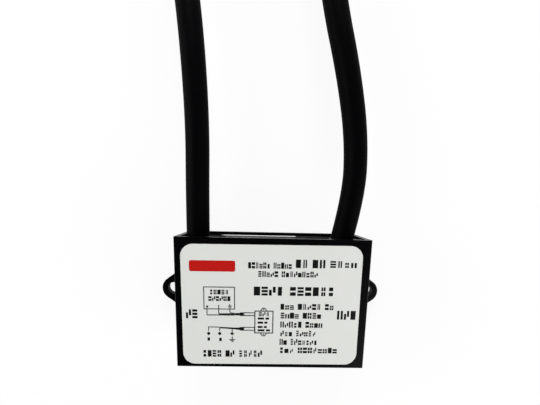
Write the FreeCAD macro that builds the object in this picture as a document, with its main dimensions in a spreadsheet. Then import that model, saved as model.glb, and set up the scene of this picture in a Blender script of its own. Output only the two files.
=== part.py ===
import FreeCAD, Part
import math
import os

import Sketcher
from FreeCAD import Placement, Rotation, Vector

# The device lies on its back face, z = 0. +X runs along the two screw ears, +Y to the open
# side that both leads leave, +Z to the labelled front. The origin is midway between the
# ears' holes.

# Driving sizes in millimetres and degrees: name, value, what it measures.
SIZES = (
    ("case_width", 60.0, "outside of the cup along X, without its ears"),
    ("case_length", 41.8, "outside of the cup along Y, closed side to rim"),
    ("case_height", 22.0, "outside of the cup along Z, back to front"),
    ("wall", 1.5, "every wall of the cup"),
    ("edge_radius", 0.3, "outer edges of the cup"),
    ("cavity_radius", 1.0, "inner corners of the cup"),
    ("ear_thickness", 2.8, "ears, flush with the back"),
    ("ear_reach", 5.4, "side wall to the middle of an ear's hole"),
    ("ear_radius", 4.25, "round end of an ear"),
    ("ear_flare", 36.0, "angle that an ear's flank opens by towards the cup"),
    ("ear_fillet", 1.0, "root of an ear on the side wall"),
    ("screw_hole", 4.4, "clearance hole of an M4 screw"),
    ("rib_depth", 1.2, "board guides, out from the side wall"),
    ("rib_width", 1.2, "board guides, along Z"),
    ("rib_length", 27.0, "board guides, from the closed side"),
    ("rib_clearance", 0.1, "board to guide, each side"),
    ("rib_chamfer", 0.6, "lead-in at the guides' mouths"),
    ("potting_recess", 0.5, "rim down to the potting's flat surface"),
    ("bank_height", 0.4, "potting drawn up the walls and the sheaths"),
    ("bank_land", 0.1, "thickness of that bank at its top"),
    ("label_width", 55.4, "label along X"),
    ("label_length", 38.6, "label along Y"),
    ("label_thickness", 0.15, "printed film"),
    ("label_radius", 3.8, "label's corners"),
    ("label_left", 0.25, "how far the label sits to the left of the middle"),
    ("label_low", 0.35, "how far the label sits below the middle"),
    ("label_turn", 0.3, "how far the label is turned anticlockwise, as it was laid by hand"),
    ("board_thickness", 1.6, "circuit board"),
    ("board_clearance", 0.3, "board's edge to the cup's walls"),
    ("board_gap", 0.9, "board's front edge to the sheaths' inner ends"),
    ("disc_diameter", 21.5, "coated varistor"),
    ("disc_thickness", 5.2, "coated varistor"),
    ("disc_gap", 0.6, "varistor to its neighbour and to the cup"),
    ("disc_seat", 0.5, "varistor above the board"),
    ("disc_pitch", 10.0, "between a varistor's pins"),
    ("disc_inset", 3.2, "varistor's rim to the line of its pins"),
    ("disc_pin", 0.8, "diameter of a varistor's pins"),
    ("cutoff_width", 7.4, "thermal cut-off along X"),
    ("cutoff_depth", 2.6, "thermal cut-off along Y"),
    ("cutoff_height", 6.0, "thermal cut-off along Z"),
    ("cutoff_radius", 0.5, "upright edges of a thermal cut-off"),
    ("cutoff_gap", 0.2, "thermal cut-off to its varistor"),
    ("cutoff_seat", 0.4, "thermal cut-off above the board"),
    ("cutoff_pitch", 5.0, "between a cut-off's pins"),
    ("cutoff_pin", 0.6, "diameter of a cut-off's pins"),
    ("tube_diameter", 7.6, "ceramic of the gas discharge tube"),
    ("tube_length", 4.4, "ceramic between the electrodes"),
    ("electrode_side", 8.4, "square electrode"),
    ("electrode_thickness", 1.0, "square electrode"),
    ("tube_gap", 0.5, "gas discharge tube to the varistors' front edge"),
    ("solder_diameter", 2.4, "foot of a solder joint on the board"),
    ("solder_height", 1.1, "joint on the board's underside"),
    ("solder_tip", 0.9, "narrow end of a solder joint"),
    ("sheath_diameter", 7.5, "round rubber lead, three cores of 1.0 mm2"),
    ("input_inset", 3.85, "input lead to the cup's side wall, where it leaves the potting"),
    ("output_inset", 5.2, "output lead to the cup's side wall, where it leaves the potting"),
    ("input_lean", -0.1, "input lead's first stretch, from +Y towards +X"),
    ("output_lean", 13.5, "output lead's first stretch, from +Y towards +X"),
    ("straight_start", 12.9, "first stretch of a lead outside the potting"),
    ("core_diameter", 2.5, "insulated core"),
    ("core_gap", 0.12, "play of the cores inside the sheath"),
    ("core_clearance", 0.15, "lower cores above the board"),
    ("inner_core_length", 4.0, "insulated core from the sheath's inner end"),
    ("conductor_diameter", 1.1, "stripped copper conductor"),
    ("conductor_straight", 0.8, "stripped end before it bends towards its joint"),
    ("joint_gap", 1.4, "row of the wire joints to the varistors' front edge"),
    ("joint_back", 4.5, "row of the wire joints to the inner cores' ends"),
    ("joint_pitch", 3.4, "between the wire joints"),
    ("joint_edge", 3.3, "outermost wire joint to the board's edge"),
    ("tip_diameter", 1.3, "tinned strands at a free core's end"),
    ("tip_length", 8.0, "tinned strands at a free core's end"),
    ("free_core_straight", 5.5, "free core before it leaves its neighbours"),
)

doc = FreeCAD.newDocument("surge_protective_device")
sheet = doc.addObject("Spreadsheet::Sheet", "sizes")
for row, (alias, number, meaning) in enumerate(SIZES, start=1):
    sheet.set(f"A{row}", meaning)
    sheet.set(f"B{row}", str(number))
    sheet.setAlias(f"B{row}", alias)
doc.recompute()


def value(expression):
    """The number that an expression of the sheet's cells gives."""
    return float(sheet.evalExpression(expression))


# Places that several pieces share, as expressions of the sheet's cells.
CAVITY_SIDE = "(sizes.case_width / 2 - sizes.wall)"
CAVITY_END = "(sizes.wall - sizes.case_length / 2)"
CAVITY_TOP = "(sizes.case_height - sizes.wall)"
RIM = "(sizes.case_length / 2)"
POTTING_LEVEL = f"({RIM} - sizes.potting_recess)"
EAR_HOLE_X = "(sizes.case_width / 2 + sizes.ear_reach)"
LEAD_HEIGHT = "(sizes.case_height / 2)"
CORE_SPREAD = "(sizes.core_diameter / sqrt(3) + sizes.core_gap)"
JOINT_HEIGHT = f"({LEAD_HEIGHT} - {CORE_SPREAD} / 2)"
BOARD_TOP = f"({JOINT_HEIGHT} - sizes.core_diameter / 2 - sizes.core_clearance)"
BOARD_BOTTOM = f"({BOARD_TOP} - sizes.board_thickness)"
BOARD_SIDE = f"({CAVITY_SIDE} - sizes.board_clearance)"
BOARD_BACK = f"({CAVITY_END} + sizes.board_clearance)"
DISC_X = "(sizes.disc_diameter / 2 + sizes.disc_gap / 2)"
DISC_Y = f"({CAVITY_END} + sizes.disc_gap + sizes.disc_diameter / 2)"
DISC_FRONT = f"({DISC_Y} + sizes.disc_diameter / 2)"
DISC_PIN_Y = f"({DISC_FRONT} - sizes.disc_inset)"
CUTOFF_Y = f"({DISC_FRONT} + sizes.cutoff_gap + sizes.cutoff_depth / 2)"
TUBE_Y = f"({DISC_FRONT} + sizes.tube_gap + sizes.electrode_side / 2)"
JOINT_Y = f"({DISC_FRONT} + sizes.joint_gap)"
SHEATH_START = f"({JOINT_Y} + sizes.joint_back + sizes.inner_core_length)"
BOARD_FRONT = f"({SHEATH_START} - sizes.board_gap)"

# Pins, cores, bare conductors and solder joints in the potting have this many flat sides.
PIN_SIDES = 8

# How much of the shorter of its two runs a cord's bend takes up.
BEND_SHARE = 0.45

SIDES = {"input": -1, "output": 1}
CORES = ("line", "neutral", "earth")


def new_body(label):
    """An empty body whose label names the piece."""
    body = doc.addObject("PartDesign::Body", label)
    body.Label = label
    return body


def origin_plane(body, role):
    """One of the body's own three origin planes."""
    return next(item for item in body.Origin.OriginFeatures if item.Role == role)


def sketch_on(body, role, name, offset=None):
    """A sketch on an origin plane of its body, moved along the plane's normal."""
    sketch = body.newObject("Sketcher::SketchObject", name)
    sketch.AttachmentSupport = (origin_plane(body, role), [""])
    sketch.MapMode = "FlatFace"
    if offset:
        sketch.setExpression(".AttachmentOffset.Base.z", offset)
    return sketch


def fix_point(sketch, edge, end, across, up):
    """Ties one end of an edge to the sketch's origin by two expressions."""
    for kind, expression in (("DistanceX", across), ("DistanceY", up)):
        constraint = Sketcher.Constraint(kind, -1, 1, edge, end, value(expression))
        number = sketch.addConstraint(constraint)
        sketch.setExpression(f"Constraints[{number}]", expression)


def rectangle(sketch, left, low, right, high):
    """An upright rectangle whose sides stand where four expressions say."""
    x0, y0, x1, y1 = (value(side) for side in (left, low, right, high))
    corners = [Vector(x0, y0), Vector(x1, y0), Vector(x1, y1), Vector(x0, y1)]
    first = sketch.GeometryCount
    for start, end in zip(corners, corners[1:] + corners[:1]):
        sketch.addGeometry(Part.LineSegment(start, end), False)
    for side in range(4):
        following = first + (side + 1) % 4
        sketch.addConstraint(Sketcher.Constraint("Coincident", first + side, 2, following, 1))
        direction = "Vertical" if side % 2 else "Horizontal"
        sketch.addConstraint(Sketcher.Constraint(direction, first + side))
    fix_point(sketch, first, 1, left, low)
    fix_point(sketch, first + 2, 1, right, high)


def circle(sketch, across, up, diameter):
    """A circle with its middle and diameter given by expressions."""
    middle = Vector(value(across), value(up))
    ring = sketch.addGeometry(Part.Circle(middle, Vector(0, 0, 1), value(diameter) / 2), False)
    fix_point(sketch, ring, 3, across, up)
    size = sketch.addConstraint(Sketcher.Constraint("Diameter", ring, value(diameter)))
    sketch.setExpression(f"Constraints[{size}]", diameter)


def extrude(body, kind, name, sketch, length, backwards=False):
    """A pad or pocket of a sketch, its length an expression."""
    feature = body.newObject(f"PartDesign::{kind}", name)
    feature.Profile = sketch
    feature.setExpression("Length", length)
    feature.Reversed = backwards
    doc.recompute()
    return feature


def edges_where(feature, test):
    """Names of the feature's edges whose middle point passes the test."""
    names = []
    for number, edge in enumerate(feature.Shape.Edges, start=1):
        middle = edge.valueAt((edge.FirstParameter + edge.LastParameter) / 2)
        if test(middle):
            names.append(f"Edge{number}")
    return names


def dress(body, kind, name, feature, edges, property_name, expression):
    """A fillet or chamfer of the named edges, its size an expression."""
    dressing = body.newObject(f"PartDesign::{kind}", name)
    dressing.Base = (feature, edges)
    dressing.setExpression(property_name, expression)
    doc.recompute()
    return dressing


def near(first, second):
    """Whether two lengths are the same within a hundredth of a millimetre."""
    return abs(first - second) < 0.01


def add_prism(body, kind, name, across, up, low, width, height):
    """An eight-sided pin or pin hole that stands on a body's XY plane."""
    prism = body.newObject(f"PartDesign::{kind}Prism", name)
    prism.AttachmentSupport = (origin_plane(body, "XY_Plane"), [""])
    prism.MapMode = "FlatFace"
    prism.Polygon = PIN_SIDES
    prism.setExpression("Circumradius", f"{width} / 2")
    prism.setExpression("Height", height)
    prism.setExpression(".AttachmentOffset.Base.x", across)
    prism.setExpression(".AttachmentOffset.Base.y", up)
    prism.setExpression(".AttachmentOffset.Base.z", low)
    doc.recompute()
    return prism


def make_ear_outline(sketch):
    """Round end about the hole, with straight flanks that open towards the side wall."""
    middle = value(EAR_HOLE_X)
    root = value("sizes.case_width / 2 - sizes.wall / 2")
    radius = value("sizes.ear_radius")
    flare = math.radians(value("sizes.ear_flare"))
    tangent = Vector(middle + radius * math.sin(flare), radius * math.cos(flare))
    shoulder = Vector(root, tangent.y + (tangent.x - root) * math.tan(flare))
    turned = math.pi / 2 - flare
    arc = Part.ArcOfCircle(Part.Circle(Vector(middle, 0), Vector(0, 0, 1), radius), -turned, turned)
    end = sketch.addGeometry(arc, False)
    upper = sketch.addGeometry(Part.LineSegment(tangent, shoulder), False)
    closing = sketch.addGeometry(Part.LineSegment(shoulder, Vector(root, -shoulder.y)), False)
    mirrored = Vector(tangent.x, -tangent.y)
    lower = sketch.addGeometry(Part.LineSegment(Vector(root, -shoulder.y), mirrored), False)
    sketch.addConstraint(Sketcher.Constraint("PointOnObject", end, 3, -1))
    sketch.addConstraint(Sketcher.Constraint("Tangent", end, 2, upper, 1))
    sketch.addConstraint(Sketcher.Constraint("Coincident", upper, 2, closing, 1))
    sketch.addConstraint(Sketcher.Constraint("Coincident", closing, 2, lower, 1))
    sketch.addConstraint(Sketcher.Constraint("Tangent", lower, 2, end, 1))
    sketch.addConstraint(Sketcher.Constraint("Symmetric", closing, 1, closing, 2, -1))
    size = sketch.addConstraint(Sketcher.Constraint("Radius", end, radius))
    sketch.setExpression(f"Constraints[{size}]", "sizes.ear_radius")
    reach = sketch.addConstraint(Sketcher.Constraint("DistanceX", -1, 1, end, 3, middle))
    sketch.setExpression(f"Constraints[{reach}]", EAR_HOLE_X)
    inside = sketch.addConstraint(Sketcher.Constraint("DistanceX", -1, 1, closing, 1, root))
    sketch.setExpression(f"Constraints[{inside}]", "sizes.case_width / 2 - sizes.wall / 2")
    angle = sketch.addConstraint(Sketcher.Constraint("Angle", upper, math.pi - flare))
    sketch.setExpression(f"Constraints[{angle}]", "(180 - sizes.ear_flare) * 1 deg")


def make_case():
    """A moulded cup, open at +Y, with board guides inside and two ears flush with its back."""
    body = new_body("case")
    outline = sketch_on(body, "XY_Plane", "cup_outline")
    rectangle(outline, "-sizes.case_width / 2", f"-{RIM}", "sizes.case_width / 2", RIM)
    block = extrude(body, "Pad", "cup_block", outline, "sizes.case_height")

    rim = value(RIM)
    outer = edges_where(block, lambda middle: middle.z > 0.01 and middle.y < rim - 0.01)
    block = dress(body, "Fillet", "cup_edges", block, outer, "Radius", "sizes.edge_radius")

    mouth = sketch_on(body, "XZ_Plane", "cavity_mouth", f"-{RIM}")
    rectangle(mouth, f"-{CAVITY_SIDE}", "sizes.wall", CAVITY_SIDE, CAVITY_TOP)
    cavity = extrude(body, "Pocket", "cavity", mouth, f"{RIM} - {CAVITY_END}", backwards=True)

    half_depth = value(f"({RIM} + {CAVITY_END}) / 2")
    side = value(CAVITY_SIDE)
    inner = edges_where(
        cavity, lambda middle: near(middle.y, half_depth) and near(abs(middle.x), side)
    )
    cavity = dress(body, "Fillet", "cavity_corners", cavity, inner, "Radius", "sizes.cavity_radius")

    ear_outline = sketch_on(body, "XY_Plane", "ear_outline")
    make_ear_outline(ear_outline)
    ear = extrude(body, "Pad", "ear", ear_outline, "sizes.ear_thickness")

    hole_centre = sketch_on(body, "XY_Plane", "screw_hole_centre")
    circle(hole_centre, EAR_HOLE_X, "0", "sizes.screw_hole")
    doc.recompute()
    hole = body.newObject("PartDesign::Hole", "screw_hole")
    hole.Profile = hole_centre
    hole.DepthType = "ThroughAll"
    hole.Reversed = True
    hole.setExpression("Diameter", "sizes.screw_hole")
    doc.recompute()

    ears = body.newObject("PartDesign::Mirrored", "ears")
    ears.Originals = [ear, hole]
    ears.MirrorPlane = (origin_plane(body, "YZ_Plane"), [""])
    body.Tip = ears
    doc.recompute()

    half_width = value("sizes.case_width / 2")
    ear_top = value("sizes.ear_thickness")
    roots = edges_where(
        ears, lambda middle: near(abs(middle.x), half_width) and near(middle.z, ear_top)
    )
    dress(body, "Fillet", "ear_roots", ears, roots, "Radius", "sizes.ear_fillet")

    guides = sketch_on(body, "XZ_Plane", "guide_profile", f"-{CAVITY_END}")
    under = (f"{BOARD_BOTTOM} - sizes.rib_clearance - sizes.rib_width", f"{BOARD_BOTTOM} - sizes.rib_clearance")
    over = (f"{BOARD_TOP} + sizes.rib_clearance", f"{BOARD_TOP} + sizes.rib_clearance + sizes.rib_width")
    for bottom, top in (under, over):
        crest = f"({CAVITY_SIDE} - sizes.rib_depth)"
        root = f"({CAVITY_SIDE} + sizes.wall / 2)"
        rectangle(guides, f"-{root}", bottom, f"-{crest}", top)
        rectangle(guides, crest, bottom, root, top)
    ribs = extrude(body, "Pad", "board_guides", guides, "sizes.rib_length", backwards=True)

    mouth_y = value(f"{CAVITY_END} + sizes.rib_length")
    faces = [value(under[1]), value(over[0])]
    entries = edges_where(
        ribs,
        lambda middle: near(middle.y, mouth_y) and any(near(middle.z, level) for level in faces),
    )
    dress(body, "Chamfer", "guide_mouths", ribs, entries, "Size", "sizes.rib_chamfer")
    return body


def make_label():
    """A thin film with rounded corners on the front face."""
    body = new_body("label")
    outline = sketch_on(body, "XY_Plane", "label_outline")
    half_width, half_length = "sizes.label_width / 2", "sizes.label_length / 2"
    rectangle(outline, f"-{half_width}", f"-{half_length}", half_width, half_length)
    film = extrude(body, "Pad", "film", outline, "sizes.label_thickness")
    middle_z = value("sizes.label_thickness / 2")
    corners = edges_where(film, lambda middle: near(middle.z, middle_z))
    dress(body, "Fillet", "label_corners", film, corners, "Radius", "sizes.label_radius")
    body.Placement = Placement(Vector(), Rotation(Vector(0, 0, 1), value("sizes.label_turn")))
    body.setExpression(".Placement.Rotation.Angle", "sizes.label_turn * 1 deg")
    body.setExpression(".Placement.Base.x", "-sizes.label_left")
    body.setExpression(".Placement.Base.y", "-sizes.label_low")
    body.setExpression(".Placement.Base.z", "sizes.case_height")
    return body


def pin_places():
    """Where each component pin goes through the board: x, y and width."""
    places = []
    for side in SIDES.values():
        for end in (-1, 1):
            x = f"({side} * {DISC_X} + {end} * sizes.disc_pitch / 2)"
            places.append((x, DISC_PIN_Y, "sizes.disc_pin"))
            x = f"({side} * {DISC_X} + {end} * sizes.cutoff_pitch / 2)"
            places.append((x, CUTOFF_Y, "sizes.cutoff_pin"))
    return places


def make_circuit_board():
    """The board in its guides, drilled for the components' pins."""
    body = new_body("circuit_board")
    outline = sketch_on(body, "XY_Plane", "board_outline")
    rectangle(outline, f"-{BOARD_SIDE}", BOARD_BACK, BOARD_SIDE, BOARD_FRONT)
    plate = extrude(body, "Pad", "board_plate", outline, "sizes.board_thickness")
    for x, y, width in pin_places():
        hole = add_prism(body, "Subtractive", "pin_hole", x, y, "0", width, "sizes.board_thickness")
    if hole.Shape.Volume >= plate.Shape.Volume:
        raise RuntimeError("the board's holes cut nothing")
    body.setExpression(".Placement.Base.z", BOARD_BOTTOM)
    return body


def make_varistor(name, side):
    """A coated disc lying flat over the board, on two pins."""
    body = new_body(name)
    profile = sketch_on(body, "XY_Plane", "disc_outline", "sizes.disc_seat")
    circle(profile, "0", "0", "sizes.disc_diameter")
    extrude(body, "Pad", "disc", profile, "sizes.disc_thickness")
    reach = "sizes.board_thickness + sizes.disc_seat + sizes.disc_thickness / 2"
    for end in (-1, 1):
        across, up = f"{end} * sizes.disc_pitch / 2", f"{DISC_PIN_Y} - {DISC_Y}"
        add_prism(body, "Additive", "pin", across, up, "-sizes.board_thickness", "sizes.disc_pin", reach)
    body.setExpression(".Placement.Base.x", f"{side} * {DISC_X}")
    body.setExpression(".Placement.Base.y", DISC_Y)
    body.setExpression(".Placement.Base.z", BOARD_TOP)
    return body


def make_cutoff(name, side):
    """A flat thermal cut-off that stands on two pins against its varistor's rim."""
    body = new_body(name)
    outline = sketch_on(body, "XY_Plane", "cutoff_outline", "sizes.cutoff_seat")
    half_width, half_depth = "sizes.cutoff_width / 2", "sizes.cutoff_depth / 2"
    rectangle(outline, f"-{half_width}", f"-{half_depth}", half_width, half_depth)
    block = extrude(body, "Pad", "cutoff_block", outline, "sizes.cutoff_height")
    middle_z = value("sizes.cutoff_seat + sizes.cutoff_height / 2")
    upright = edges_where(block, lambda middle: near(middle.z, middle_z))
    dress(body, "Chamfer", "cutoff_edges", block, upright, "Size", "sizes.cutoff_radius")
    reach = "sizes.board_thickness + sizes.cutoff_seat + sizes.cutoff_height / 2"
    for end in (-1, 1):
        across = f"{end} * sizes.cutoff_pitch / 2"
        add_prism(body, "Additive", "pin", across, "0", "-sizes.board_thickness", "sizes.cutoff_pin", reach)
    body.setExpression(".Placement.Base.x", f"{side} * {DISC_X}")
    body.setExpression(".Placement.Base.y", CUTOFF_Y)
    body.setExpression(".Placement.Base.z", BOARD_TOP)
    return body


def make_gas_tube():
    """A ceramic barrel between two square electrodes that sit on the board."""
    axis_height = f"{BOARD_TOP} + sizes.electrode_side / 2"
    ceramic = doc.addObject("Part::Cylinder", "gas_tube_ceramic")
    ceramic.setExpression("Radius", "sizes.tube_diameter / 2")
    ceramic.setExpression("Height", "sizes.tube_length")
    ceramic.Placement = Placement(Vector(), Rotation(Vector(0, 1, 0), 90))
    ceramic.setExpression(".Placement.Base.x", "-sizes.tube_length / 2")
    pieces = [ceramic]
    for label, start in (
        ("gas_tube_left_electrode", "-sizes.tube_length / 2 - sizes.electrode_thickness"),
        ("gas_tube_right_electrode", "sizes.tube_length / 2"),
    ):
        electrode = doc.addObject("Part::Box", label)
        electrode.setExpression("Length", "sizes.electrode_thickness")
        electrode.setExpression("Width", "sizes.electrode_side")
        electrode.setExpression("Height", "sizes.electrode_side")
        electrode.setExpression(".Placement.Base.x", start)
        electrode.setExpression(".Placement.Base.y", f"{TUBE_Y} - sizes.electrode_side / 2")
        electrode.setExpression(".Placement.Base.z", BOARD_TOP)
        pieces.append(electrode)
    ceramic.setExpression(".Placement.Base.y", TUBE_Y)
    ceramic.setExpression(".Placement.Base.z", axis_height)
    for piece in pieces:
        piece.Label = piece.Name
    return pieces


def add_piece(label, shape):
    """A piece of a given shape, which is already in its place."""
    piece = doc.addObject("Part::Feature", label)
    piece.Label = label
    piece.Shape = shape
    return piece


def route_wire(points, radii):
    """Straight runs joined by tangent arcs, each as large as its two runs allow."""
    edges = []
    start = points[0]
    for before, corner, after in zip(points, points[1:], points[2:]):
        arriving = (corner - before).normalize()
        leaving = (after - corner).normalize()
        setback = BEND_SHARE * min((corner - before).Length, (after - corner).Length)
        half_turn = arriving.getAngle(leaving) / 2
        radius = setback / math.tan(half_turn)
        inward = (leaving - arriving).normalize()
        middle = corner + inward * (radius / math.cos(half_turn) - radius)
        arc_start = corner - arriving * setback
        arc_end = corner + leaving * setback
        edges.append(Part.LineSegment(start, arc_start).toShape())
        edges.append(Part.Arc(arc_start, middle, arc_end).toShape())
        radii.append(radius)
        start = arc_end
    edges.append(Part.LineSegment(start, points[-1]).toShape())
    return Part.Wire(edges)


def make_tube(label, points, diameter):
    """A round solid along a route, its volume compared with its section times its length."""
    radii = []
    wire = route_wire(points, radii)
    start = (points[1] - points[0]).normalize()
    section = Part.Wire(Part.makeCircle(diameter / 2, points[0], start))
    solid = wire.makePipe(Part.Face(section))
    expected = math.pi * diameter ** 2 / 4 * wire.Length
    if abs(solid.Volume / expected - 1) > 0.001:
        raise RuntimeError(f"{label} has volume {solid.Volume:.2f}, not {expected:.2f}")
    print(f"{label}: length {wire.Length:.2f}, radii", " ".join(f"{radius:.1f}" for radius in radii))
    return add_piece(label, solid)


# Each lead beyond its straight start, from its exit: to the right, away from the case, and
# the height of its middle above the surface that the device lies on. The two leads ease
# down to that surface and run on side by side.
LEAD_ROUTES = {
    "input": (
        (0.3, 31.8, 10.6),
        (-0.4, 51.2, 10.8),
        (-2.2, 70.6, 9.6),
        (-8.4, 115.0, 3.85),
        (-7.1, 159.0, 3.85),
    ),
    "output": (
        (2.9, 31.8, 10.0),
        (-0.95, 51.2, 10.0),
        (-6.35, 70.6, 9.4),
        (-14.0, 115.0, 3.85),
        (-11.8, 158.2, 3.85),
    ),
}

# End of each free core, from the middle of its sheath's end: along the lead, to its right,
# and the height of the core's middle above that surface.
FREE_CORE_ENDS = {
    "input": {"line": (29.8, -10.2, 2.1), "neutral": (30.4, 8.4, 2.4), "earth": (30.8, 2.6, 3.5)},
    "output": {"line": (30.4, -8.0, 2.3), "neutral": (29.6, 10.6, 2.0), "earth": (30.9, 1.3, 3.4)},
}


def lead_direction(side_name):
    """Direction of a lead where it leaves the potting."""
    lean = math.radians(value(f"sizes.{side_name}_lean"))
    return Vector(math.sin(lean), math.cos(lean), 0)


def lead_exit(side_name):
    """Middle of a lead at the potting's flat surface."""
    x = SIDES[side_name] * value(f"{CAVITY_SIDE} - sizes.{side_name}_inset")
    return Vector(x, value(POTTING_LEVEL), value(LEAD_HEIGHT))


def lead_points(side_name):
    """Route of a lead, from its sheath's inner end to its sheath's outer end."""
    start = lead_exit(side_name)
    direction = lead_direction(side_name)
    points = [
        start - direction * value(f"{POTTING_LEVEL} - {SHEATH_START}"),
        start + direction * value("sizes.straight_start"),
    ]
    for right, away, height in LEAD_ROUTES[side_name]:
        points.append(Vector(start.x + right, start.y + away, height))
    return points


def core_starts(middle, right):
    """Middles of the three cores in a sheath's end face: two low ones and one on top."""
    spread = value(CORE_SPREAD)
    low = Vector(0, 0, -spread / 2)
    apart = right * (spread * math.sqrt(3) / 2)
    return {
        "line": middle + low - apart,
        "neutral": middle + low + apart,
        "earth": middle + Vector(0, 0, spread),
    }


def make_leads():
    """Both leads, as the pieces that the potting holds and the pieces that lie free."""
    held = []
    free = []
    conductors = []
    for side_name, side in SIDES.items():
        points = lead_points(side_name)
        held.append(make_tube(f"{side_name}_cable", points, value("sizes.sheath_diameter")))
        conductors += make_inner_cores(side_name, side, points[0], held)
        make_free_cores(side_name, points[-2], points[-1], free)
    held.append(add_piece("board_conductors", Part.makeCompound(conductors)))
    return held, free


def make_inner_cores(side_name, side, sheath_end, held):
    """Insulated cores inside the potting; the bare conductors, which bend to their joints."""
    inward = lead_direction(side_name) * -1
    right = Vector(-inward.y, inward.x, 0)
    starts = core_starts(sheath_end, right)
    order = ("line", "earth", "neutral") if side < 0 else ("neutral", "earth", "line")
    conductors = []
    for position, core in enumerate(order):
        stripped = starts[core] + inward * value("sizes.inner_core_length")
        insulation = bent_prism([starts[core], stripped], value("sizes.core_diameter"))
        held.append(add_piece(f"{side_name}_{core}_inner_core", insulation))
        bend = stripped + inward * value("sizes.conductor_straight")
        route = [stripped, bend, joint_place(side, position)]
        conductors.append(bent_prism(route, value("sizes.conductor_diameter")))
    return conductors


def joint_place(side, position):
    """Where a conductor is soldered on the board, counted from the board's edge."""
    x = value(f"{BOARD_SIDE} - sizes.joint_edge - {position} * sizes.joint_pitch")
    return Vector(side * x, value(JOINT_Y), value(JOINT_HEIGHT))


def ring_corners(middle, direction, width):
    """Corners of a flat-sided outline about a point, square to a direction."""
    turn = Rotation(Vector(0, 0, 1), direction)
    corners = []
    for corner in range(PIN_SIDES):
        angle = 2 * math.pi * corner / PIN_SIDES
        flat = Vector(math.cos(angle), math.sin(angle), 0) * (width / 2)
        corners.append(middle + turn.multVec(flat))
    return corners


def bent_prism(points, width):
    """A flat-sided rod along a route, with mitred bends."""
    corners = ring_corners(points[0], points[1] - points[0], width)
    ring = Part.makePolygon(corners + corners[:1])
    mitred = 1
    return Part.makePolygon(points).makePipeShell([ring], True, False, mitred)


def flat_sided_taper(x, y, start, end):
    """An upright frustum of solder between two heights, its foot at the first."""
    upright = Vector(0, 0, 1)
    foot = ring_corners(Vector(x, y, start), upright, value("sizes.solder_diameter"))
    tip = ring_corners(Vector(x, y, end), upright, value("sizes.solder_tip"))
    outlines = [foot, tip]
    for corner in range(PIN_SIDES):
        following = (corner + 1) % PIN_SIDES
        outlines.append([foot[corner], foot[following], tip[following], tip[corner]])
    faces = [Part.Face(Part.makePolygon(outline + outline[:1])) for outline in outlines]
    return Part.makeSolid(Part.makeShell(faces))


def make_free_cores(side_name, before, sheath_end, free):
    """Insulated cores that fan out from a sheath's outer end, each with a tinned tip."""
    along = (sheath_end - before).normalize()
    right = Vector(along.y, -along.x, 0)
    starts = core_starts(sheath_end, right)
    for core in CORES:
        away, across, height = FREE_CORE_ENDS[side_name][core]
        end = sheath_end + along * away + right * across
        end.z = height
        bend = starts[core] + along * value("sizes.free_core_straight")
        label = f"{side_name}_{core}"
        core_route = [starts[core], bend, end]
        free.append(make_tube(f"{label}_core", core_route, value("sizes.core_diameter")))
        length, diameter = value("sizes.tip_length"), value("sizes.tip_diameter")
        strands = Part.makeCylinder(diameter / 2, length, end, end - bend)
        free.append(add_piece(f"{label}_tip", strands))


def make_solder_joints(conductors):
    """Solder under the board at the pins, and over it round the conductors' ends."""
    bottom, top = value(BOARD_BOTTOM), value(BOARD_TOP)
    low_end = bottom - value("sizes.solder_height")
    joints = [flat_sided_taper(value(x), value(y), bottom, low_end) for x, y, _ in pin_places()]
    for side in SIDES.values():
        for position in range(len(CORES)):
            place = joint_place(side, position)
            mound = flat_sided_taper(place.x, place.y, top, place.z)
            joints.append(mound.cut(conductors.Shape))
    return add_piece("solder_joints", Part.makeCompound(joints))


def make_potting(embedded):
    """Compound cast round all that the cup holds, with a concave bank at its edges."""
    fill = new_body("potting_fill")
    beyond = "sizes.wall / 2"
    outline = sketch_on(fill, "XZ_Plane", "fill_outline", f"-({CAVITY_END} - {beyond})")
    side = f"({CAVITY_SIDE} + {beyond})"
    rectangle(outline, f"-{side}", beyond, side, f"{CAVITY_TOP} + {beyond}")
    depth = f"{POTTING_LEVEL} + sizes.bank_height - {CAVITY_END} + {beyond}"
    block = extrude(fill, "Pad", "fill_block", outline, depth, backwards=True)
    surface = sketch_on(fill, "XZ_Plane", "surface_outline", f"-({POTTING_LEVEL} + sizes.bank_height)")
    inset_side = f"({CAVITY_SIDE} - sizes.bank_land)"
    low, high = "sizes.wall + sizes.bank_land", f"{CAVITY_TOP} - sizes.bank_land"
    rectangle(surface, f"-{inset_side}", low, inset_side, high)
    dip = extrude(fill, "Pocket", "surface_dip", surface, "sizes.bank_height", backwards=True)
    if dip.Shape.Volume >= block.Shape.Volume:
        raise RuntimeError("the potting's surface was not lowered")
    level, inside = value(POTTING_LEVEL), value(CAVITY_SIDE)
    feet = edges_where(dip, lambda middle: near(middle.y, level) and abs(middle.x) < inside)
    dress(fill, "Fillet", "bank", dip, feet, "Radius", "sizes.bank_height * 0.95")

    poured = doc.addObject("Part::MultiFuse", "potting_poured")
    collars = []
    for side_name in SIDES:
        collar = doc.addObject("Part::Cone", f"{side_name}_collar")
        collar.setExpression("Radius1", "sizes.sheath_diameter / 2 + 2 * sizes.bank_height")
        collar.setExpression("Radius2", "sizes.sheath_diameter / 2 + sizes.bank_land")
        collar.setExpression("Height", "2 * sizes.bank_height")
        direction = lead_direction(side_name)
        foot = lead_exit(side_name) - direction * value("sizes.bank_height")
        collar.Placement = Placement(foot, Rotation(Vector(0, 0, 1), direction))
        collars.append(collar)
    poured.Shapes = [fill] + collars

    contents = doc.addObject("Part::MultiFuse", "potting_contents")
    contents.Shapes = embedded
    potting = doc.addObject("Part::Cut", "potting_compound")
    potting.Label = "potting_compound"
    potting.Base = poured
    potting.Tool = contents
    doc.recompute()
    return potting


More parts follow.
